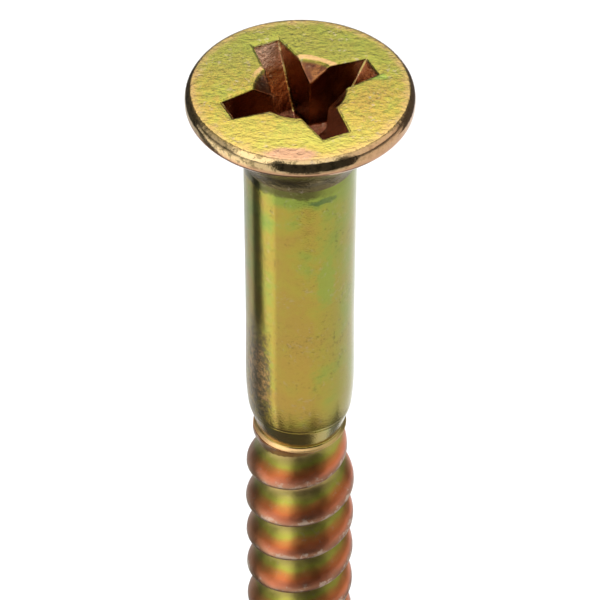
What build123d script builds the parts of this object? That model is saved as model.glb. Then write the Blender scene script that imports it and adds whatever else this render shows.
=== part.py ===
from build123d import *
from math import ceil, cos, pi, radians, sin, sqrt, tan
import os

# Countersunk wood screw, 5 x 50 mm, with a cross recess and a rolled single-start thread.
# Millimetres. The origin is the centre of the flat top face; +Z points out of the head,
# so the screw hangs down to z = -LENGTH. "Depth" below always means distance under that face.
# The real screw is one forging: each node is one region of it, and neighbouring regions meet
# on a full disc square to the axis.

# Driving dimensions
LENGTH = 50.0
HEAD_RADIUS = 4.7
SHANK_RADIUS = 2.36
CREST_RADIUS = 2.5
PITCH = 2.3
RECESS_SPAN = 6.6

# Head
RIM_HEIGHT = 0.7
RIM_TOP_ROUND = 0.28
RIM_LOW_ROUND = 0.12
NECK_ROUND = 1.35
HEAD_END = 3.6

# Cross recess
RECESS_TURN = 25.6
WING_TIP_WIDTH = 1.13
WING_DRAFT = 3.0
WING_END_SLOPE = 26.5
FLOOR_RADIUS = 1.9
FLOOR_SLOPE = 17.0
MOUTH_RADIUS = 1.93
CORNER_RADIUS = 1.25

# Shank and shoulder
SWELL_RADIUS = 2.4
SWELL_DEPTH = 12.3
SHANK_END = 16.0
SHOULDER_END = 19.3
SHOULDER_END_RADIUS = 2.06
LIP_ROUND = 0.15

# Thread
ROOT_RADIUS = 1.75
THREAD_PHASE = -0.036
FIRST_ROOT_RADIUS = 1.95
FIRST_CREST_RADIUS = 2.13
RUN_OUT_START = 20.5
RUN_OUT_END = 22.4
UPPER_FLANK = 0.73
CREST_FULLNESS = 0.85
UPPER_STRIPS = 8
LOWER_STRIPS = 5
POINTS_PER_TURN = 20

# Point
POINT_START = 44.0
TIP_RADIUS = 0.12
RIDGE_END = 49.4
TIP_RIDGE = 0.03


def blend(depth, start, end):
    """0 above start, 1 below end and a smooth rise between them."""
    t = min(max((depth - start) / (end - start), 0.0), 1.0)
    return t * t * (3 - 2 * t)


def slab(top_depth, low_depth):
    """A wide slice between two depths, which cuts a region out of a longer body."""
    size = 4 * HEAD_RADIUS
    return Pos(0, 0, -low_depth) * Box(
        size, size, low_depth - top_depth, align=(Align.CENTER, Align.CENTER, Align.MIN)
    )


def turned(outline, *rounds):
    """A solid of revolution from (radius, depth) corners, with (corner, radius) rounds."""
    with BuildPart() as body:
        with BuildSketch(Plane.XZ) as half:
            Polygon(*[(r, -d) for r, d in outline], align=None)
            for (r, d), size in rounds:
                fillet(half.vertices().sort_by_distance((r, -d))[0], size)
        revolve(axis=Axis.Z)
    return body.part


def recess_wings():
    """Four drafted wings, each a little narrower at its tip than at the middle."""
    tip = RECESS_SPAN / 2
    half_tip = WING_TIP_WIDTH / 2
    corner = CORNER_RADIUS / sqrt(2)
    outline = []
    for quarter in range(4):
        turn = quarter * pi / 2
        for x, y in ((tip, -half_tip), (tip, half_tip), (corner, corner)):
            outline.append((x * cos(turn) - y * sin(turn), x * sin(turn) + y * cos(turn)))
    with BuildPart() as wings:
        with BuildSketch():
            Polygon(*outline, align=None)
        extrude(amount=-HEAD_END, taper=WING_DRAFT)
    return wings.part


def recess():
    """The hole for a cross-point driver: wings with sloping ends and a conical mouth."""
    tip = RECESS_SPAN / 2
    wing_end = (tip - FLOOR_RADIUS) / tan(radians(WING_END_SLOPE))
    floor = wing_end + FLOOR_RADIUS * tan(radians(FLOOR_SLOPE))
    envelope = turned([(0, 0), (tip, 0), (FLOOR_RADIUS, wing_end), (0, floor)])
    mouth = turned([(0, 0), (MOUTH_RADIUS, 0), (0, MOUTH_RADIUS)])
    return Rot(0, 0, RECESS_TURN) * (recess_wings() & envelope) + mouth


def head():
    """The countersunk head with its rolled rim and its neck, and the recess cut in."""
    below = HEAD_END + NECK_ROUND
    rim_top = (HEAD_RADIUS, 0)
    rim_low = (HEAD_RADIUS, RIM_HEIGHT)
    neck = (SHANK_RADIUS, RIM_HEIGHT + HEAD_RADIUS - SHANK_RADIUS)
    body = turned(
        [(0, 0), rim_top, rim_low, neck, (SHANK_RADIUS, below), (0, below)],
        (rim_top, RIM_TOP_ROUND),
        (rim_low, RIM_LOW_ROUND),
        (neck, NECK_ROUND),
    )
    return (body & slab(0, HEAD_END)) - recess()


def plain_shank():
    """The unthreaded shank, which swells a little just above the shoulder."""
    with BuildPart() as body:
        with BuildSketch(Plane.XZ):
            with BuildLine():
                Line((0, -HEAD_END), (SHANK_RADIUS, -HEAD_END))
                Line((SHANK_RADIUS, -HEAD_END), (SHANK_RADIUS, -SWELL_DEPTH))
                Spline(
                    (SHANK_RADIUS, -SWELL_DEPTH),
                    (SWELL_RADIUS, -SHANK_END),
                    tangents=((0, -1), (0, -1)),
                )
                Line((SWELL_RADIUS, -SHANK_END), (0, -SHANK_END))
                Line((0, -SHANK_END), (0, -HEAD_END))
            make_face()
        revolve(axis=Axis.Z)
    return body.part


def shoulder():
    """The rounded step from the shank down to the thread, with its rolled lip."""
    lip = (SHOULDER_END_RADIUS, -SHOULDER_END)
    with BuildPart() as body:
        with BuildSketch(Plane.XZ) as half:
            with BuildLine():
                Spline((SWELL_RADIUS, -SHANK_END), lip, tangents=((0, -1), (-0.5, -1)))
                Line(lip, (0, -SHOULDER_END))
                Line((0, -SHOULDER_END), (0, -SHANK_END))
                Line((0, -SHANK_END), (SWELL_RADIUS, -SHANK_END))
            make_face()
            fillet(half.vertices().sort_by_distance(lip)[0], LIP_ROUND)
        revolve(axis=Axis.Z)
    return body.part


def fading(depth):
    """0 along the thread, rising to 1 where the ridge dies out just above the tip."""
    return min(max((depth - POINT_START) / (RIDGE_END - POINT_START), 0), 1)


def root_radius(depth):
    """Radius at the bottom of the groove, which is shallow at the shoulder and tapers to the tip."""
    shallow = (FIRST_ROOT_RADIUS - ROOT_RADIUS) * (1 - blend(depth, SHOULDER_END, RUN_OUT_START))
    narrowing = min(max(depth - POINT_START, 0) / (LENGTH - POINT_START), 1)
    return ROOT_RADIUS + shallow + narrowing * (TIP_RADIUS - ROOT_RADIUS)


def ridge_height(depth):
    """Height of the ridge over the groove: low at the shoulder, full below it, none at the tip."""
    rising = blend(depth, RUN_OUT_START, RUN_OUT_END)
    crest = FIRST_CREST_RADIUS + rising * (CREST_RADIUS - FIRST_CREST_RADIUS)
    height = crest - max(root_radius(depth), ROOT_RADIUS)
    return height * (1 - fading(depth)) + TIP_RIDGE * fading(depth)


def thread_section(turn):
    """One pitch of the thread's outline: a long upper flank, the crest and a short lower flank."""
    angle = -2 * pi * (turn + THREAD_PHASE)
    depth = turn * PITCH
    sharpness = CREST_FULLNESS + fading(depth)
    steps = [(strip / UPPER_STRIPS - 1, UPPER_FLANK) for strip in range(UPPER_STRIPS)]
    steps += [(strip / LOWER_STRIPS, 1 - UPPER_FLANK) for strip in range(LOWER_STRIPS)]
    section = []
    for share, flank in steps:
        wave = (1 + cos(pi * share)) / 2
        radius = root_radius(depth) + ridge_height(depth) * wave**sharpness
        level = -depth - share * flank * PITCH
        section.append(Vector(radius * cos(angle), radius * sin(angle), level))
    return section


def thread_edges(first_turn):
    """The outline's points, each carried round one turn as a spline."""
    steps = [first_turn + step / POINTS_PER_TURN for step in range(POINTS_PER_TURN + 1)]
    sections = [thread_section(turn) for turn in steps]
    return [Edge.make_spline(list(points)) for points in zip(*sections)]


def thread_end(turn):
    """The stepped spiral face that closes the thread at a turn: a flat and a helicoid."""
    above = thread_section(turn)
    below = thread_section(turn + 1)[0]
    axis_top = Vector(0, 0, above[0].Z)
    axis_low = Vector(0, 0, below.Z)
    flat = Face(Wire.make_polygon([*above, below, axis_low, axis_top], close=True))
    axis = Edge.make_line(axis_top, axis_low)
    helicoid = Face.make_surface_from_curves(thread_edges(turn)[0], axis)
    return [flat, helicoid]


def threaded_body():
    """Groove and ridge as one closed skin, longer than needed at both ends."""
    first_turn = SHOULDER_END / PITCH - 2
    turn_count = ceil(LENGTH / PITCH - first_turn) + 1
    edges = [thread_edges(first_turn + turn) for turn in range(turn_count + 1)]
    faces = thread_end(first_turn) + thread_end(first_turn + turn_count)
    for upper, lower in zip(edges, edges[1:]):
        for first, second in zip(upper, upper[1:] + lower[:1]):
            faces.append(Face.make_surface_from_curves(first, second))
    return Solid(Shell(faces))


def main():
    """Write every node."""
    os.makedirs("parts", exist_ok=True)
    threaded = threaded_body()
    nodes = {
        "head": head(),
        "shank": plain_shank(),
        "shoulder": shoulder(),
        "thread": threaded & slab(SHOULDER_END, POINT_START),
        "point": threaded & slab(POINT_START, LENGTH),
    }
    for name, shape in nodes.items():
        export_step(shape, f"parts/{name}.step")
        print(name, shape.is_valid, len(shape.solids()), round(shape.volume, 3))


main()
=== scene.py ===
from math import cos, floor, hypot, pi, radians, sin, sqrt, tan

import bmesh
import bpy
from mathutils import Matrix, Vector


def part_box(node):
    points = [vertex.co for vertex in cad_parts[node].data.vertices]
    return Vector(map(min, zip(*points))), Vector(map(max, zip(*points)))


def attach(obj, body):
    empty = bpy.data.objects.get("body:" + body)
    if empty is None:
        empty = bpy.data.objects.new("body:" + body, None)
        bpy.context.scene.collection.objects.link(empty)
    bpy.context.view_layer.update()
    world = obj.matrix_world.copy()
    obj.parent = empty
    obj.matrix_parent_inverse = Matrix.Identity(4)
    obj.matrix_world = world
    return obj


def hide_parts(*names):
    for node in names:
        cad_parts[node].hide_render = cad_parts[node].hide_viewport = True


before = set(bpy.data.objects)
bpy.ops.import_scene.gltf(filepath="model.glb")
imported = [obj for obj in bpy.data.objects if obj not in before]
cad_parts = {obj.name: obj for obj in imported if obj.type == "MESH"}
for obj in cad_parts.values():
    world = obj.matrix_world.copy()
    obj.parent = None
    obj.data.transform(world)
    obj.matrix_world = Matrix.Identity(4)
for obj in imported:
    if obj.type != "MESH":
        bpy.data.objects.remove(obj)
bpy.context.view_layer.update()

# Frame: metres, origin at the centre of the head's flat top face, +Z out of the head.
# Sizes below are in millimetres and "depth" is the distance under the top face, as in the CAD.
MM = 0.001


def depth_span(node):
    """A CAD node's (top depth, low depth) in millimetres."""
    low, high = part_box(node)
    return -high.z / MM, -low.z / MM


def half_width(node):
    """Half a CAD node's width in millimetres."""
    low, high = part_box(node)
    return (high.x - low.x) / 2 / MM


HEAD_RADIUS = half_width("head")
HEAD_END = depth_span("head")[1]
SHANK_END = depth_span("shank")[1]
SHOULDER_END = depth_span("shoulder")[1]
POINT_START = depth_span("point")[0]
LENGTH = depth_span("point")[1]

# Head, from the rim down
RIM_TOP_WIDTH = 0.29
RIM_TOP_HEIGHT = 0.52
CONE_START = 0.75
RIM_LOW_ROUND = 0.12
SHANK_RADIUS = 2.36
NECK_ROUND = 1.35

# Cross recess: four arms that widen from their ends to the corners between them. Their walls are
# drafted, and their ends slope in to the floor's radius at the wall end's depth.
RECESS_TURN = radians(25.6)
RECESS_TIP = 3.3
TIP_HALF_WIDTH = 0.565
INNER_CORNER = 1.25 / sqrt(2)
SIDE_SLOPE = (INNER_CORNER - TIP_HALF_WIDTH) / (RECESS_TIP - INNER_CORNER)
WING_DRAFT = tan(radians(3.0))
WING_END_SLOPE = tan(radians(26.5))
FLOOR_RADIUS = 1.9
FLOOR_SLOPE = tan(radians(17.0))
MOUTH_RADIUS = 1.93
MOUTH_BLEND = 0.05
WALL_END = (RECESS_TIP - FLOOR_RADIUS) / WING_END_SLOPE
INNERMOST_RING = 0.02
LIP_ROUND = 0.06
EDGE_ROLL = 0.24
EDGE_SINK = 0.03

# Shank and shoulder. Below the crease the shoulder is steep down to the start of its lip.
SWELL_RADIUS = 2.4
SWELL_START = 12.3
CREASE_DEPTH = 17.8
CREASE_RADIUS = 2.31
CREASE_SINK = 0.02
CREASE_WIDTH = 0.12
STEEP_PART = 0.8
LIP_RADIUS = 1.98
LIP_FLARE = 0.12
FLARE_START = SHOULDER_END - 0.26
FLARE_END = SHOULDER_END - 0.06
LIP_HEIGHT = 0.05

# Thread
ROOT_RADIUS = 1.75
FIRST_ROOT_RADIUS = 1.95
CREST_RADIUS = 2.5
PITCH = 2.3
THREAD_PHASE = -0.036
FIRST_CREST_RADIUS = 2.13
RUN_OUT_START = 20.5
RUN_OUT_END = 22.4
UPPER_FLANK = 0.73
CREST_FULLNESS = 0.85
TIP_RADIUS = 0.12
RIDGE_END = 49.4

# Mesh density: columns round the axis, points along half a recess arm, and rows of each stretch
COLUMNS = 240
ARM_END_POINTS = 8
ARM_SIDE_POINTS = 40
RECESS_FLOOR_ROWS = 12
RECESS_WALL_ROWS = 50
ROUNDING_ROWS = 8
TOP_FACE_ROWS = 30
RIM_ROWS = 12
CONE_ROWS = 90
SHANK_ROWS = 90
SHOULDER_ROWS = 150
THREAD_ROWS = 400
POINT_ROWS = 120

# Studio floor, the dark disc left of the screw's tip, and the heights of the cards just above it
FLOOR_REACH = 4000
FAR_FLOOR_START = 120
DISC_RADIUS = 22
DISC_OFFSET = 12
DISC_CORNERS = 48
LOW_CARD_HEIGHT = 0.2 - LENGTH
HIGH_CARD_HEIGHT = 0.4 - LENGTH
UPRIGHT_CARD_FOOT = 0.5 - LENGTH

# Lights and camera
LIGHT_DISTANCE = 250
LIGHT_AIM_DEPTH = 8
CAMERA_PLACE = (0, -88.2, 71.6)
CAMERA_DOWN_TILT = 43.41
CAMERA_ROLL = 0.06
LENS = 168.0
SENSOR_WIDTH = 36.0


# Shape functions


def blend(value, start, end):
    """0 before start, 1 after end and a smooth rise between them."""
    t = min(max((value - start) / (end - start), 0.0), 1.0)
    return t * t * (3 - 2 * t)


def share(value, start, end):
    """0 before start, 1 after end and a straight rise between them."""
    return min(max((value - start) / (end - start), 0.0), 1.0)


def soft_min(a, b, size):
    """The smaller of two values, with the change from one to the other rounded off."""
    h = max(size - abs(a - b), 0) / size
    return min(a, b) - h * h * size / 4


def soft_max(a, b, size):
    """The larger of two values, with the change from one to the other rounded off."""
    return -soft_min(-a, -b, size)


# Mesh building


def skin(name, rings):
    """A closed smooth mesh through rings of (x, y, depth) in millimetres, with its normals out."""
    mesh = bpy.data.meshes.new(name)
    bm = bmesh.new()
    loops = []
    for ring in rings:
        loops.append([bm.verts.new((x * MM, y * MM, -depth * MM)) for x, y, depth in ring])
    count = len(rings[0])
    for upper, lower in zip(loops, loops[1:]):
        for column in range(count):
            after = (column + 1) % count
            bm.faces.new((upper[column], lower[column], lower[after], upper[after]))
    close_ring(bm, loops[0], False)
    close_ring(bm, loops[-1], True)
    for face in bm.faces:
        face.smooth = True
    bm.to_mesh(mesh)
    bm.free()
    piece = bpy.data.objects.new(name, mesh)
    bpy.context.collection.objects.link(piece)
    return piece


def close_ring(bm, loop, turned):
    """A flat fan across an end ring, with a sharp edge so that it doesn't bend the shading."""
    centre = bm.verts.new(sum((v.co for v in loop), Vector()) / len(loop))
    for first, second in zip(loop, loop[1:] + loop[:1]):
        corners = (centre, second, first) if turned else (centre, first, second)
        bm.faces.new(corners)
        bm.edges.get((first, second)).smooth = False


def round_ring(radius_at, depth):
    """A ring at one depth whose radius may change with the angle."""
    ring = []
    for column in range(COLUMNS):
        angle = 2 * pi * column / COLUMNS
        radius = radius_at(angle)
        ring.append((radius * cos(angle), radius * sin(angle), depth))
    return ring


def circle_like(ring, radius, depth):
    """A circle whose points lie in the same directions from the axis as a ring's points."""
    circle = []
    for x, y, _ in ring:
        reach = hypot(x, y)
        circle.append((x / reach * radius, y / reach * radius, depth))
    return circle


# Head


def half_arm(depth, outward):
    """Half of one recess arm's outline at a depth, from its end's middle to the inner corner."""
    end = RECESS_TIP - depth * WING_END_SLOPE
    end = max(end, FLOOR_RADIUS) + outward
    end_half = TIP_HALF_WIDTH + SIDE_SLOPE * (RECESS_TIP - end) - depth * WING_DRAFT + outward
    base = TIP_HALF_WIDTH + SIDE_SLOPE * RECESS_TIP - depth * WING_DRAFT + outward
    corner = base / (1 + SIDE_SLOPE)
    mouth = MOUTH_RADIUS - depth + outward
    points = []
    for step in range(ARM_END_POINTS):
        points.append((end, end_half * step / ARM_END_POINTS))
    for step in range(ARM_SIDE_POINTS):
        t = step / ARM_SIDE_POINTS
        points.append((end + (corner - end) * t, end_half + (corner - end_half) * t))
    points.append((corner, corner))
    shaped = []
    for x, y in points:
        reach = hypot(x, y)
        widened = soft_max(reach, mouth, MOUTH_BLEND)
        shaped.append((x * widened / reach, y * widened / reach))
    return shaped


def recess_ring(depth, outward=0.0, shrink=1.0):
    """The whole recess outline at a depth, moved outward or shrunk towards the axis."""
    half = half_arm(min(depth, WALL_END), outward)
    quarter = half + [(y, x) for x, y in reversed(half[1:-1])]
    ring = []
    for arm in range(4):
        turn = RECESS_TURN + arm * pi / 2
        for x, y in quarter:
            turned_x = (x * cos(turn) - y * sin(turn)) * shrink
            turned_y = (x * sin(turn) + y * cos(turn)) * shrink
            ring.append((turned_x, turned_y, depth))
    return ring


def recess_rings():
    """Rings from the middle of the recess floor up its walls and over the rounded lip."""
    rings = []
    for step in range(RECESS_FLOOR_ROWS):
        shrink = INNERMOST_RING + (1 - INNERMOST_RING) * step / RECESS_FLOOR_ROWS
        depth = WALL_END + (1 - shrink) * FLOOR_RADIUS * FLOOR_SLOPE
        rings.append(recess_ring(depth, 0, shrink))
    wall_top = EDGE_SINK + LIP_ROUND
    for step in range(RECESS_WALL_ROWS):
        rings.append(recess_ring(WALL_END + (wall_top - WALL_END) * step / RECESS_WALL_ROWS))
    for step in range(ROUNDING_ROWS + 1):
        turn = step / ROUNDING_ROWS * pi / 2
        depth = EDGE_SINK + LIP_ROUND * (1 - sin(turn))
        rings.append(recess_ring(depth, LIP_ROUND * (1 - cos(turn))))
    return rings


def top_face_rings(inner):
    """Rings from the recess lip, rolled down a little, out to the rim: from cross to circle."""
    outer_radius = HEAD_RADIUS - RIM_TOP_WIDTH
    rings = []
    for step in range(1, TOP_FACE_ROWS + 1):
        t = step / TOP_FACE_ROWS
        ring = []
        for x, y, _ in inner:
            reach = hypot(x, y)
            radius = reach + (outer_radius - reach) * t**2
            sunk = max(1 - (radius - reach) / EDGE_ROLL, 0) ** 2 * EDGE_SINK
            ring.append((x / reach * radius, y / reach * radius, sunk))
        rings.append(ring)
    return rings


def head_profile():
    """(radius, depth) pairs down the outside of the rim, the cone and the neck."""
    profile = []
    for step in range(1, RIM_ROWS + 1):
        turn = step / RIM_ROWS * pi / 2
        radius = HEAD_RADIUS - RIM_TOP_WIDTH * (1 - sin(turn))
        profile.append((radius, RIM_TOP_HEIGHT * (1 - cos(turn))))
    for step in range(1, CONE_ROWS + 1):
        depth = RIM_TOP_HEIGHT + (HEAD_END - RIM_TOP_HEIGHT) * step / CONE_ROWS
        profile.append((cone_radius(depth), depth))
    return profile


def cone_radius(depth):
    """Radius of the head under its rim: the land, the 90 degree cone and the neck's round."""
    neck_corner = CONE_START + HEAD_RADIUS - SHANK_RADIUS
    neck_reach = NECK_ROUND * tan(pi / 8)
    if depth > neck_corner - neck_reach * cos(pi / 4):
        below = min(depth - neck_corner - neck_reach, 0)
        return SHANK_RADIUS + NECK_ROUND - sqrt(NECK_ROUND**2 - below**2)
    cone = HEAD_RADIUS - (depth - CONE_START)
    return soft_min(HEAD_RADIUS, cone, RIM_LOW_ROUND)


def build_head():
    """The head as one skin: recess floor, walls and lip, top face, rim, cone and neck."""
    rings = recess_rings()
    rings += top_face_rings(rings[-1])
    edge = rings[-1]
    for radius, depth in head_profile():
        rings.append(circle_like(edge, radius, depth))
    return skin("plated_head", rings)


# Shank and shoulder


def shank_radius(depth):
    """The plain shank swells a little towards the shoulder."""
    return SHANK_RADIUS + (SWELL_RADIUS - SHANK_RADIUS) * blend(depth, SWELL_START, SHANK_END)


def shoulder_radius(depth):
    """The shoulder rounds in to a faint crease, then more steeply to its flared lip."""
    above = (min(depth, CREASE_DEPTH) - SHANK_END) / (CREASE_DEPTH - SHANK_END)
    below = max(depth - CREASE_DEPTH, 0) / (SHOULDER_END - CREASE_DEPTH)
    upper = (SWELL_RADIUS - CREASE_RADIUS) * above**2
    lower = (CREASE_RADIUS - LIP_RADIUS) * min(below / STEEP_PART, 1)
    flare = LIP_FLARE * blend(depth, FLARE_START, FLARE_END)
    crease = CREASE_SINK * max(1 - abs(depth - CREASE_DEPTH) / CREASE_WIDTH, 0) ** 2
    return SWELL_RADIUS - upper - lower + flare - crease


def build_shank():
    """The plain shank."""
    rings = []
    for row in range(SHANK_ROWS + 1):
        depth = HEAD_END + (SHANK_END - HEAD_END) * row / SHANK_ROWS
        rings.append(round_ring(lambda angle: shank_radius(depth), depth))
    return skin("plated_shank", rings)


def build_shoulder():
    """The shoulder with its rounded lip, closed by the flat step in to the thread."""
    lip_start = SHOULDER_END - LIP_HEIGHT
    rings = []
    for row in range(SHOULDER_ROWS + 1):
        depth = SHANK_END + (lip_start - SHANK_END) * row / SHOULDER_ROWS
        rings.append(round_ring(lambda angle: shoulder_radius(depth), depth))
    for step in range(1, ROUNDING_ROWS + 1):
        turn = step / ROUNDING_ROWS * pi / 2
        radius = shoulder_radius(lip_start) - LIP_HEIGHT * (1 - cos(turn))
        depth = lip_start + LIP_HEIGHT * sin(turn)
        rings.append(round_ring(lambda angle: radius, depth))
    return skin("plated_shoulder", rings)


# Thread and point


def root_radius(depth):
    """Radius at the bottom of the groove, which is shallow at the shoulder and tapers to the tip."""
    shallow = (FIRST_ROOT_RADIUS - ROOT_RADIUS) * (1 - blend(depth, SHOULDER_END, RUN_OUT_START))
    return ROOT_RADIUS + shallow + share(depth, POINT_START, LENGTH) * (TIP_RADIUS - ROOT_RADIUS)


def ridge_height(depth):
    """Height of the thread's ridge over its groove."""
    rising = blend(depth, RUN_OUT_START, RUN_OUT_END)
    crest = FIRST_CREST_RADIUS + rising * (CREST_RADIUS - FIRST_CREST_RADIUS)
    fading = share(depth, POINT_START, RIDGE_END)
    groove = max(root_radius(depth), ROOT_RADIUS)
    return (crest - groove) * (1 - fading)


def thread_radius(depth, angle):
    """Radius of the threaded surface: a long upper flank and a short, steep lower one."""
    turns = depth / PITCH + angle / (2 * pi) + THREAD_PHASE
    past = turns - floor(turns)
    if past < 1 - UPPER_FLANK:
        from_crest = past / (1 - UPPER_FLANK)
        crest_depth = depth - past * PITCH
    else:
        from_crest = (1 - past) / UPPER_FLANK
        crest_depth = depth + (1 - past) * PITCH
    wave = (1 + cos(pi * from_crest)) / 2
    sharpness = CREST_FULLNESS + share(crest_depth, POINT_START, RIDGE_END)
    return root_radius(crest_depth) + ridge_height(crest_depth) * wave**sharpness


def thread_rings(start, end, rows):
    """Rings of the threaded surface between two depths."""
    rings = []
    for row in range(rows + 1):
        depth = start + (end - start) * row / rows
        rings.append(round_ring(lambda angle: thread_radius(depth, angle), depth))
    return rings


def build_thread():
    """The thread from the shoulder to the point."""
    return skin("plated_thread", thread_rings(SHOULDER_END, POINT_START, THREAD_ROWS))


def build_point():
    """The tapering point with the end of the thread."""
    return skin("plated_point", thread_rings(POINT_START, LENGTH, POINT_ROWS))


# Material building


def new_node(material, kind, **values):
    """A shader node with some inputs set by name."""
    node = material.node_tree.nodes.new(kind)
    for name, value in values.items():
        node.inputs[name].default_value = value
    return node


def join(material, source, socket):
    """Feeds a socket with another socket, a colour or a number."""
    if isinstance(source, bpy.types.NodeSocket):
        material.node_tree.links.new(source, socket)
    elif isinstance(source, tuple):
        socket.default_value = (*source, 1)
    else:
        socket.default_value = source


def millimetres(material, stretch=(1, 1, 1)):
    """Object coordinates in millimetres, optionally stretched."""
    place = material.node_tree.nodes.new("ShaderNodeTexCoord")
    scale = new_node(material, "ShaderNodeMapping")
    scale.inputs["Scale"].default_value = [s / MM for s in stretch]
    join(material, place.outputs["Object"], scale.inputs["Vector"])
    return scale.outputs["Vector"]


def calc(material, operation, first, second=0.0):
    """One arithmetic step on values or numbers."""
    node = material.node_tree.nodes.new("ShaderNodeMath")
    node.operation = operation
    join(material, first, node.inputs[0])
    join(material, second, node.inputs[1])
    return node.outputs[0]


def plus(material, first, second):
    """The sum of two values or numbers."""
    return calc(material, "ADD", first, second)


def minus(material, first, second):
    """The first value or number less the second."""
    return calc(material, "SUBTRACT", first, second)


def times(material, first, second):
    """The product of two values or numbers."""
    return calc(material, "MULTIPLY", first, second)


def centred_noise(material, place, scale, detail, roughness):
    """A noise value that lies evenly on both sides of 0."""
    return minus(material, noise(material, place, scale, detail, roughness), 0.5)


def split(material, place):
    """The x, y and depth under the top face, in millimetres, of a place."""
    node = material.node_tree.nodes.new("ShaderNodeSeparateXYZ")
    join(material, place, node.inputs[0])
    depth = times(material, node.outputs["Z"], -1)
    return node.outputs["X"], node.outputs["Y"], depth


def distance(material, x, y):
    """The length of a two-part offset."""
    squares = [times(material, part, part) for part in (x, y)]
    return calc(material, "SQRT", plus(material, *squares))


def noise(material, place, scale, detail=2.0, roughness=0.5):
    """A noise value between 0 and 1."""
    node = new_node(material, "ShaderNodeTexNoise", Scale=scale, Detail=detail, Roughness=roughness)
    join(material, place, node.inputs["Vector"])
    return node.outputs["Fac"]


def ramp(material, value, stops):
    """A colour ramp over (position, colour) stops."""
    node = material.node_tree.nodes.new("ShaderNodeValToRGB")
    band = node.color_ramp
    while len(band.elements) < len(stops):
        band.elements.new(0.5)
    for element, (position, colour) in zip(band.elements, stops):
        element.position = position
        element.color = (*colour, 1)
    join(material, value, node.inputs["Fac"])
    return node.outputs["Color"]


def levels(material, value, low, high, out_low=0.0, out_high=1.0):
    """A value eased from one range to another and held inside it."""
    node = material.node_tree.nodes.new("ShaderNodeMapRange")
    node.interpolation_type = "SMOOTHSTEP"
    for name, number in (
        ("From Min", low),
        ("From Max", high),
        ("To Min", out_low),
        ("To Max", out_high),
    ):
        node.inputs[name].default_value = number
    join(material, value, node.inputs["Value"])
    return node.outputs["Result"]


def mix(material, factor, first, second):
    """One colour turning into another by a factor."""
    node = material.node_tree.nodes.new("ShaderNodeMix")
    node.data_type = "RGBA"
    join(material, factor, node.inputs[0])
    join(material, first, node.inputs[6])
    join(material, second, node.inputs[7])
    return node.outputs[2]


def spot(material, across, along, centre, size, ragged):
    """1 inside an oval spot with a ragged edge, 0 outside it."""
    offsets = []
    for value, middle, reach in zip((across, along), centre, size):
        offsets.append(calc(material, "DIVIDE", minus(material, value, middle), reach))
    edge = plus(material, distance(material, *offsets), ragged)
    return levels(material, edge, 1.35, 0.75)


def bump(material, height, depth):
    """A bump map of a depth in millimetres."""
    node = new_node(material, "ShaderNodeBump", Strength=1.0, Distance=depth * MM)
    join(material, height, node.inputs["Height"])
    return node.outputs["Normal"]


def metal(name):
    """An empty metallic material and its shader."""
    material = bpy.data.materials.new(name)
    material.use_nodes = True
    shader = material.node_tree.nodes["Principled BSDF"]
    shader.inputs["Metallic"].default_value = 1.0
    return material, shader


def finish_plating(material, shader, colour, roughness, grain, grain_depth, dirt):
    """Adds dirt and wear specks, uneven gloss and the surface grain to a plating's colour."""
    place = millimetres(material)
    marks = levels(material, noise(material, place, 9.0, 2.0, 0.7), 0.58, 0.74, 0.0, dirt)
    colour = mix(material, marks, colour, UMBER)
    worn = levels(material, noise(material, place, 4.0, 4.0, 0.7), 0.54, 0.66, 0.0, dirt)
    patches = levels(material, noise(material, place, 0.9, 1.0), 0.45, 0.6)
    specks = times(material, worn, patches)
    join(material, mix(material, specks, colour, WORN_ZINC), shader.inputs["Base Color"])
    uneven = levels(material, noise(material, place, 2.5, 4.0, 0.6), 0.3, 0.7, -0.03, 0.05)
    join(material, plus(material, roughness, uneven), shader.inputs["Roughness"])
    join(material, bump(material, grain, grain_depth), shader.inputs["Normal"])


# Platings

GOLD = (0.37, 0.28, 0.045)
PALE_GOLD = (0.5, 0.42, 0.085)
LIME = (0.3, 0.305, 0.05)
GREEN = (0.21, 0.29, 0.05)
DARK_GREEN = (0.04, 0.1, 0.045)
DARK_OLIVE = (0.07, 0.062, 0.022)
AMBER = (0.38, 0.235, 0.05)
ROSE = (0.5, 0.27, 0.14)
BRONZE = (0.8, 0.5, 0.33)
MAROON = (0.38, 0.16, 0.055)
DEEP_BROWN = (0.12, 0.045, 0.025)
OLIVE = (0.2, 0.21, 0.04)
UMBER = (0.13, 0.1, 0.04)
STRAW = (0.55, 0.4, 0.2)
CREASE_HIGHLIGHT_YELLOW = (0.85, 0.7, 0.2)
COPPER = (0.45, 0.25, 0.14)
RUSSET = (0.15, 0.065, 0.035)
LIP_HIGHLIGHT_COPPER = (0.85, 0.55, 0.25)
WORN_ZINC = (0.38, 0.3, 0.22)
PALE_WEAR_AND_SHEEN = (0.6, 0.5, 0.4)


def recess_creases(material, x, y, depth):
    """1 along the lines where the recess's sloping arm ends meet the arms' side walls, where a
    highlight is painted.
    """
    arm_directions = (
        (cos(RECESS_TURN), sin(RECESS_TURN)),
        (-sin(RECESS_TURN), cos(RECESS_TURN)),
    )
    offsets = []
    for x_share, y_share in arm_directions:
        offset = plus(material, times(material, x, x_share), times(material, y, y_share))
        offsets.append(calc(material, "ABSOLUTE", offset))
    along = calc(material, "MAXIMUM", *offsets)
    across = calc(material, "MINIMUM", *offsets)
    end = plus(material, along, times(material, depth, WING_END_SLOPE))
    wall = plus(material, across, times(material, depth, WING_DRAFT))
    wall = plus(material, wall, times(material, along, SIDE_SLOPE))
    from_end = calc(material, "ABSOLUTE", minus(material, end, RECESS_TIP))
    wall_line = TIP_HALF_WIDTH + SIDE_SLOPE * RECESS_TIP
    from_wall = calc(material, "ABSOLUTE", minus(material, wall, wall_line))
    return levels(material, calc(material, "MAXIMUM", from_end, from_wall), 0.08, 0.03)


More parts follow.
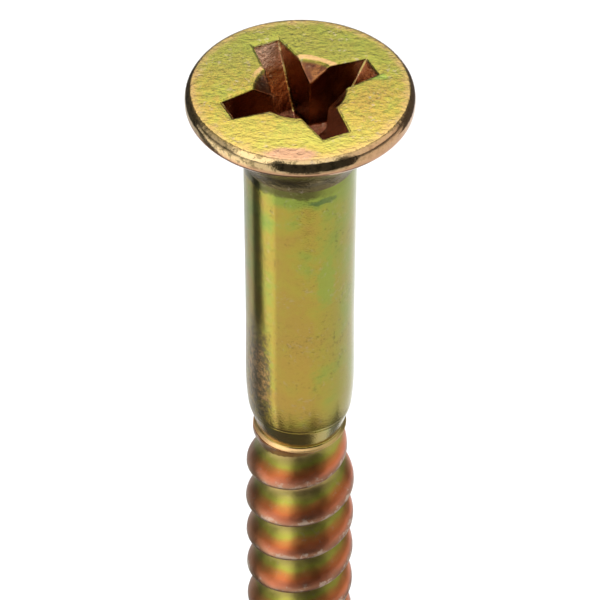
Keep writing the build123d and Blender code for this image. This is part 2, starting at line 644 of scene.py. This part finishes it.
def recess_mask(material, reach, depth):
    """1 on the recess's walls and floor, 0 on the rest of the head."""
    sloped = plus(material, reach, times(material, depth, WING_END_SLOPE))
    within = levels(material, sloped, RECESS_TIP + 0.25, RECESS_TIP + 0.1)
    return times(material, levels(material, depth, 0.03, 0.18), within)


def recess_colours(material, place, reach, depth):
    """Bronze arm ends, maroon walls, deep brown as painted shade far down, and patchy deep brown on
    the mouth.
    """
    inner = levels(material, reach, 2.95, 2.7)
    colour = mix(material, inner, BRONZE, MAROON)
    # Painted shade: deep brown further down the recess.
    colour = mix(material, levels(material, depth, 1.5, 3.0), colour, DEEP_BROWN)
    from_mouth = minus(material, plus(material, reach, depth), MOUTH_RADIUS)
    mouth = levels(material, calc(material, "ABSOLUTE", from_mouth), 0.12, 0.04)
    folds = levels(material, noise(material, place, 2.2, 3.0, 0.6), 0.4, 0.6, 0.95, 0.5)
    return mix(material, times(material, mouth, folds), colour, DEEP_BROWN)


def top_face_colours(material, place, x, y):
    """Yellow-green that drifts to amber, with painted shade towards the back, a painted highlight
    towards the front, and grimy in places.
    """
    drift = noise(material, place, 0.5, 4.0, 0.6)
    colour = ramp(material, drift, [(0.36, LIME), (0.5, GOLD), (0.64, AMBER)])
    mottle = levels(material, noise(material, place, 5.0, 4.0, 0.7), 0.42, 0.62, 0.0, 0.6)
    colour = mix(material, mottle, colour, OLIVE)
    tint = levels(material, noise(material, place, 1.7, 4.0, 0.65), 0.45, 0.6, 0.0, 0.6)
    colour = mix(material, tint, colour, AMBER)
    leafy = spot(material, x, y, (0.7, -3.3), (1.5, 0.55), noise(material, place, 2.8, 3.0, 0.6))
    colour = mix(material, times(material, leafy, 0.8), colour, LIME)
    # Painted shade: darker olive towards the back of the top face.
    back_shade = levels(material, y, -2.0, 2.6, 0.0, 0.75)
    colour = mix(material, back_shade, colour, OLIVE)
    # Painted highlight: paler gold towards the front of the top face.
    front_highlight = levels(material, y, -0.5, -3.8, 0.0, 0.55)
    colour = mix(material, front_highlight, colour, PALE_GOLD)
    grit = levels(material, noise(material, place, 7.0, 4.0, 0.7), 0.5, 0.68, 0.0, 0.5)
    grimy = levels(material, plus(material, drift, times(material, y, 0.04)), 0.45, 0.65)
    return mix(material, times(material, grit, grimy), colour, DARK_OLIVE)


def top_face_spots(material, place, x, y, reach, ragged, colour):
    """Adds the rosy edge, a green spot, the pale rose ring behind the recess, a raised burr's colour
    with a painted highlight on it, and a copper spot.
    """
    edge = levels(material, plus(material, reach, ragged), 4.0, 4.5, 0.0, 0.45)
    colour = mix(material, edge, colour, ROSE)
    sprout = spot(material, x, y, (3.1, 0.7), (0.8, 0.35), noise(material, place, 2.2, 3.0, 0.6))
    colour = mix(material, times(material, sprout, 0.8), colour, GREEN)
    # Pale rose ring behind the recess: the burr's colour and a painted highlight on it.
    from_burr = calc(material, "ABSOLUTE", minus(material, reach, MOUTH_RADIUS + 0.1))
    from_burr = plus(material, from_burr, times(material, ragged, 0.3))
    behind = levels(material, y, 0.4, 1.2, 0.0, 0.6)
    burr = times(material, levels(material, from_burr, 0.16, 0.06), behind)
    colour = mix(material, burr, colour, ROSE)
    front = spot(material, x, y, (-0.45, -4.2), (1.0, 0.42), ragged)
    return mix(material, front, colour, COPPER)


def rim_colours(material, place, x, rim, ragged, colour):
    """Adds the straw rim with its dark marks and a blush to the right."""
    colour = mix(material, rim, colour, STRAW)
    marks = levels(material, noise(material, place, 3.5, 5.0, 0.75), 0.5, 0.6, 0.0, 0.7)
    colour = mix(material, times(material, marks, rim), colour, UMBER)
    blush = levels(material, plus(material, x, ragged), 1.2, 3.0, 0.0, 0.7)
    return mix(material, times(material, blush, rim), colour, ROSE)


def under_head_colours(material, depth, ragged, colour):
    """Adds the copper lower edge of the rim, the gold cone and painted shade on the neck."""
    low_rim = levels(material, depth, 0.45, 0.7)
    colour = mix(material, low_rim, colour, COPPER)
    uneven = plus(material, depth, ragged)
    colour = mix(material, levels(material, uneven, 0.9, 1.5, 0.0, 0.75), colour, GOLD)
    # Painted shade: dark umber on the neck under the head.
    return mix(material, levels(material, uneven, 2.7, 3.3), colour, UMBER)


def head_plating():
    """Rippled yellow zinc on top, straw and rose on the rim, copper brown in the recess."""
    material, shader = metal("head_plating")
    place = millimetres(material)
    x, y, depth = split(material, place)
    reach = distance(material, x, y)
    ragged = centred_noise(material, place, 1.6, 4.0, 0.65)
    rim = levels(material, reach, HEAD_RADIUS - RIM_TOP_WIDTH, HEAD_RADIUS - 0.1)
    inside = recess_mask(material, reach, depth)
    patchy = levels(material, noise(material, place, 1.5, 3.0, 0.6), 0.35, 0.6, 0.2, 0.9)
    # Painted highlight along the recess's creases, patchy along their length.
    crease_highlights = times(material, recess_creases(material, x, y, depth), patchy)
    crease_highlights = times(material, crease_highlights, inside)
    colour = top_face_colours(material, place, x, y)
    colour = top_face_spots(material, place, x, y, reach, ragged, colour)
    colour = rim_colours(material, place, x, rim, ragged, colour)
    colour = under_head_colours(material, depth, ragged, colour)
    colour = mix(material, inside, colour, recess_colours(material, place, reach, depth))
    # Painted highlight: bright yellow and less metallic on the creases, so that the lamps light it
    # from any side.
    colour = mix(material, crease_highlights, colour, CREASE_HIGHLIGHT_YELLOW)
    join(material, levels(material, crease_highlights, 0.0, 1.0, 1.0, 0.3), shader.inputs["Metallic"])
    ripple = noise(material, millimetres(material, (0.85, 1, 1)), 3.6, 5.0, 0.62)
    smooth = calc(material, "MAXIMUM", times(material, inside, 0.45), rim)
    grain = times(material, ripple, minus(material, 1, times(material, smooth, 0.85)))
    roughness = levels(material, rim, 0.0, 1.0, 0.17, 0.08)
    finish_plating(material, shader, colour, roughness, grain, 0.062, 0.45)
    return material


def shank_film(material, place, x, depth):
    """The shank's colour drift: greener to both sides and near the head, amber lower down."""
    drift = noise(material, place, 0.6, 6.0, 0.66)
    right = times(material, x, 0.04)
    left = levels(material, x, -0.9, -1.3, 0.0, 0.12)
    lower = times(material, minus(material, depth, 9.5), -0.011)
    film = plus(material, drift, plus(material, plus(material, right, left), lower))
    return ramp(material, film, [(0.38, AMBER), (0.53, GOLD), (0.64, LIME), (0.77, GREEN)])


def under_neck_colours(material, x, depth, ragged, colour):
    """Adds the green zone, the dark green smear and painted shade just under the neck, stronger to
    the left.
    """
    uneven = plus(material, depth, times(material, ragged, 0.6))
    leafy = levels(material, uneven, 4.75, 4.2, 0.0, 0.9)
    leafy = times(material, leafy, levels(material, x, -1.5, -0.9, 0.15, 1.0))
    colour = mix(material, leafy, colour, GREEN)
    smear = spot(material, x, depth, (0.95, 4.25), (0.5, 0.14), times(material, ragged, 2.5))
    colour = mix(material, times(material, smear, 0.85), colour, DARK_GREEN)
    # Painted shade: dark olive just under the neck, stronger towards the left.
    shaded = levels(material, plus(material, x, ragged), 1.5, 0.4, 0.25, 1.0)
    shade = times(material, levels(material, uneven, 4.1, 3.84), shaded)
    return mix(material, shade, colour, DARK_OLIVE)


def shank_spots(material, place, x, depth, ragged, colour):
    """Adds a painted dark reflection as darker olive towards the right side, amber, green and rosy
    spots, and a patchy dark patina.
    """
    # Painted dark reflection: darker olive towards the right side.
    right_dark_reflection = levels(material, x, 0.3, 2.3, 0.22, 0.65)
    colour = mix(material, right_dark_reflection, colour, OLIVE)
    loose = times(material, ragged, 2.0)
    amber = spot(material, x, depth, (-0.3, 14.6), (0.9, 1.8), loose)
    colour = mix(material, times(material, amber, 0.5), colour, AMBER)
    green = spot(material, x, depth, (1.1, 8.8), (0.35, 1.3), loose)
    colour = mix(material, times(material, green, 0.6), colour, GREEN)
    grimy = levels(material, noise(material, place, 0.7, 2.0), 0.42, 0.6)
    patina = levels(material, noise(material, place, 5.0, 6.0, 0.78), 0.52, 0.66, 0.0, 0.5)
    colour = mix(material, times(material, patina, grimy), colour, DARK_OLIVE)
    blush = spot(material, x, depth, (-1.8, 14.8), (0.4, 1.8), times(material, ragged, 3.0))
    return mix(material, times(material, blush, 0.6), colour, ROSE)


def shank_plating():
    """Smooth yellow zinc, scuffed at the lower left, with a painted pale copper highlight on the lip
    at its end, strongest to the left.
    """
    material, shader = metal("shank_plating")
    place = millimetres(material)
    x, _, depth = split(material, place)
    ragged = centred_noise(material, place, 2.2, 4.0, 0.65)
    colour = shank_film(material, place, x, depth)
    colour = under_neck_colours(material, x, depth, ragged, colour)
    colour = shank_spots(material, place, x, depth, ragged, colour)
    scuffed = spot(material, x, depth, (-1.8, 15.0), (0.5, 3.2), ragged)
    blotches = levels(material, noise(material, place, 4.0, 4.0, 0.7), 0.42, 0.55, 0.2, 0.85)
    colour = mix(material, times(material, scuffed, blotches), colour, UMBER)
    lip = levels(material, depth, FLARE_START, FLARE_START + 0.1)
    # Painted highlight: pale copper on the flared lip, strongest towards the left.
    bright = times(material, lip, levels(material, x, 1.7, -0.8, 0.4, 1.0))
    colour = mix(material, bright, colour, LIP_HIGHLIGHT_COPPER)
    roughness = levels(material, lip, 0.0, 1.0, 0.12, 0.4)
    relief = levels(material, scuffed, 0.0, 1.0, 0.3, 1.0)
    grain = times(material, noise(material, place, 12.0, 3.0, 0.65), relief)
    finish_plating(material, shader, colour, roughness, grain, 0.016, 0.25)
    return material


# Colours across the thread, from one groove down over the ridge to the next
THREAD_BANDS = (
    (0.0, (0.38, 0.25, 0.11)),
    (0.15, (0.35, 0.29, 0.08)),
    (0.27, (0.34, 0.32, 0.05)),
    (0.36, (0.42, 0.18, 0.045)),
    (0.46, (0.5, 0.14, 0.045)),
    (0.57, (0.5, 0.165, 0.085)),
    (0.67, (0.46, 0.22, 0.13)),
    (0.76, (0.46, 0.27, 0.14)),
    (1.0, (0.38, 0.25, 0.11)),
)


def share_from_groove(material, x, y, depth, wobble):
    """How far below the groove a place lies, as a share of the pitch, with a little wobble."""
    turn = calc(material, "DIVIDE", calc(material, "ARCTAN2", y, x), 2 * pi)
    turns = plus(material, calc(material, "DIVIDE", depth, PITCH), turn)
    turns = plus(material, turns, THREAD_PHASE)
    turns = plus(material, turns, times(material, wobble, 0.2))
    return calc(material, "FRACT", plus(material, turns, UPPER_FLANK))


def thread_plating():
    """Copper brown on the outer half of each ridge, olive yellow in the groove."""
    material, shader = metal("thread_plating")
    place = millimetres(material)
    x, y, depth = split(material, place)
    wobble = centred_noise(material, place, 0.9, 3.0, 0.55)
    from_groove = share_from_groove(material, x, y, depth, wobble)
    colour = ramp(material, from_groove, THREAD_BANDS)
    from_crest = calc(material, "ABSOLUTE", minus(material, from_groove, UPPER_FLANK))
    # Painted dark reflection: darker russet on the ridges' crests towards the right side.
    side = levels(material, x, -1.0, 0.5, 0.0, 0.65)
    crest_dark_reflection = times(material, levels(material, from_crest, 0.22, 0.08), side)
    colour = mix(material, crest_dark_reflection, colour, RUSSET)
    left_end = levels(material, plus(material, x, wobble), -1.3, -2.3, 0.0, 0.55)
    colour = mix(material, left_end, colour, UMBER)
    # Pale crests in patches: partly worn bare zinc, partly a painted highlight along the crests.
    pale_crest_noise = noise(material, place, 1.8, 5.0, 0.75)
    wear_and_sheen = minus(material, levels(material, pale_crest_noise, 0.44, 0.64, 0.0, 0.15), from_crest)
    colour = mix(material, levels(material, wear_and_sheen, -0.03, 0.06, 0.0, 0.45), colour, PALE_WEAR_AND_SHEEN)
    grain = noise(material, millimetres(material, (1, 1, 2.5)), 5.0, 3.0, 0.6)
    finish_plating(material, shader, colour, 0.34, grain, 0.003, 0.2)
    return material


# Studio


def polar(reach, azimuth, height):
    """A point at a reach from the axis. Azimuth 0 is in front, 90 to the right."""
    turn = radians(azimuth)
    return (reach * sin(turn), -reach * cos(turn), height)


def stage_sheet(name, corners, material):
    """A flat sheet that belongs to the studio, not to the screw."""
    mesh = bpy.data.meshes.new(name)
    mesh.from_pydata([Vector(corner) * MM for corner in corners], [], [tuple(range(len(corners)))])
    mesh.materials.append(material)
    sheet = bpy.data.objects.new(name, mesh)
    bpy.context.collection.objects.link(sheet)
    return sheet


def matt(name, shade, glow):
    """A plain matt material that may glow."""
    material = bpy.data.materials.new(name)
    material.use_nodes = True
    shader = material.node_tree.nodes["Principled BSDF"]
    shader.inputs["Base Color"].default_value = (shade, shade, shade, 1)
    shader.inputs["Roughness"].default_value = 0.9
    shader.inputs["Emission Color"].default_value = (1, 1, 1, 1)
    shader.inputs["Emission Strength"].default_value = glow
    return material


def floor_sheet():
    """A plain pale sheet under the screw's tip that glows a little, like a light table."""
    reach = FLOOR_REACH
    corners = [(-reach, -reach), (reach, -reach), (reach, reach), (-reach, reach)]
    stage_sheet("floor", [(x, y, -LENGTH) for x, y in corners], matt("floor_sheet", 0.9, 0.1))


def far_floor():
    """Four paler strips round the lit part of the floor, so that it stays pale to the horizon."""
    near = FAR_FLOOR_START * sqrt(2)
    far = FLOOR_REACH * sqrt(2)
    paper = matt("far_floor", 0.0, 0.98)
    for name, azimuth in (("front", 0), ("right", 90), ("back", 180), ("left", 270)):
        corners = []
        for reach, turn in ((near, -45), (far, -45), (far, 45), (near, 45)):
            corners.append(polar(reach, azimuth + turn, LOW_CARD_HEIGHT))
        strip = stage_sheet(f"far_floor_{name}", corners, paper)
        strip.visible_glossy = False
        strip.visible_diffuse = False
        strip.visible_shadow = False


def reflected_card(name, corners, shade, glow):
    """A card that only polished metal sees."""
    card = stage_sheet(name, corners, matt(name, shade, glow))
    card.visible_camera = False
    card.visible_shadow = False
    card.visible_diffuse = False


def dark_disc():
    """A dark disc just above the floor, left of the tip, seen only in the metal's reflections."""
    corners = []
    for step in range(DISC_CORNERS):
        x, y, height = polar(DISC_RADIUS, step * 360 / DISC_CORNERS, LOW_CARD_HEIGHT)
        corners.append((x - DISC_OFFSET, y, height))
    reflected_card("dark_disc", corners, 0.02, 0.1)


def floor_cards():
    """Bright, grey and dark cards just above the floor round the tip, seen only in the metal's
    reflections, with (reach, azimuth) corners.
    """
    tip, far, left_end = (22, -52), (160, -52), (141, -97)
    left_corners = ((22, -112), (160, -112), (160, -175), (22, -175))
    near_corners = ((20, -25), (29, -25), (30, 30), (30, 90), (29, 140), (20, 140), (21, 60))
    patches = (
        ("bright_wedge", 1.75, (tip, far, left_end)),
        ("dark_wedge", 0.08, (tip, left_end, (141, -112), (22, -112))),
        ("left_wedge", 0.72, left_corners),
        ("near_wedge", 0.25, near_corners),
    )
    for name, glow, places in patches:
        corners = [polar(reach, azimuth, HIGH_CARD_HEIGHT) for reach, azimuth in places]
        reflected_card(name, corners, 0.02, glow)


def dark_card(name, reach, first, last, top, glow):
    """An upright dark card between two azimuths, from the floor to a height."""
    corners = [
        polar(reach, first, UPRIGHT_CARD_FOOT),
        polar(reach, last, UPRIGHT_CARD_FOOT),
        polar(reach, last, top),
        polar(reach, first, top),
    ]
    reflected_card(name, corners, 0.01, glow)


def soft_box(name, azimuth, elevation, width, height, brightness):
    """An area light aimed at the screw's axis. Azimuth 0 is in front, 90 to the right."""
    turn = radians(azimuth)
    lift = radians(elevation)
    away = Vector((sin(turn) * cos(lift), -cos(turn) * cos(lift), sin(lift)))
    data = bpy.data.lights.new(name, "AREA")
    data.shape = "RECTANGLE"
    data.size = width * MM
    data.size_y = height * MM
    data.energy = brightness * data.size * data.size_y * pi
    lamp = bpy.data.objects.new(name, data)
    lamp.location = Vector((0, 0, -LIGHT_AIM_DEPTH * MM)) + away * LIGHT_DISTANCE * MM
    lamp.rotation_euler = away.to_track_quat("Z", "Y").to_euler()
    lamp.visible_camera = False
    bpy.context.collection.objects.link(lamp)


def pale_world(brightness):
    """A dim surround for the metal to reflect."""
    world = bpy.data.worlds.new("studio")
    world.use_nodes = True
    shade = world.node_tree.nodes["Background"]
    shade.inputs["Color"].default_value = (1, 1, 1, 1)
    shade.inputs["Strength"].default_value = brightness
    bpy.context.scene.world = world


def photo_camera():
    """The camera: a long lens, in front of the screw and above its head."""
    data = bpy.data.cameras.new("camera")
    data.sensor_width = SENSOR_WIDTH
    data.lens = LENS
    camera = bpy.data.objects.new("camera", data)
    camera.location = Vector(CAMERA_PLACE) * MM
    pitch = Matrix.Rotation(radians(90 - CAMERA_DOWN_TILT), 4, "X")
    roll = Matrix.Rotation(radians(CAMERA_ROLL), 4, "Z")
    camera.rotation_euler = (pitch @ roll).to_euler()
    bpy.context.collection.objects.link(camera)
    bpy.context.scene.camera = camera


def studio():
    """Floor, surround, reflected cards, lights and the camera."""
    floor_sheet()
    far_floor()
    dark_disc()
    floor_cards()
    dark_card("dark_front", 76, -24, 52, 14, 0.03)
    dark_card("dark_left", 90, -160, -105, 12, 0.05)
    dark_card("dark_right", 90, 105, 160, 12, 0.1)
    pale_world(0.17)
    soft_box("back_light", 180, 32, 260, 88, 1.4)
    soft_box("top_light", 180, 72, 260, 290, 2.6)
    soft_box("front_light", 10, 48, 200, 240, 1.5)
    soft_box("left_front_light", -44, 24, 150, 240, 2.1)
    soft_box("left_light", -80, 28, 170, 200, 0.6)
    soft_box("right_light", 76, 30, 240, 200, 1.1)
    photo_camera()
    bpy.context.scene.view_settings.view_transform = "Standard"


def main():
    """Builds the pieces, dresses them and sets up the studio."""
    head_plate = head_plating()
    shank_plate = shank_plating()
    thread_plate = thread_plating()
    pieces = (
        (build_head(), "head", "head_plating", head_plate),
        (build_shank(), "shank", "shank_plating", shank_plate),
        (build_shoulder(), "shoulder", "shank_plating", shank_plate),
        (build_thread(), "thread", "thread_plating", thread_plate),
        (build_point(), "point", "thread_plating", thread_plate),
    )
    for piece, node, slot, plate in pieces:
        piece.data.materials.append(plate)
        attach(piece, "root")
        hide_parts(node)
    studio()


main()
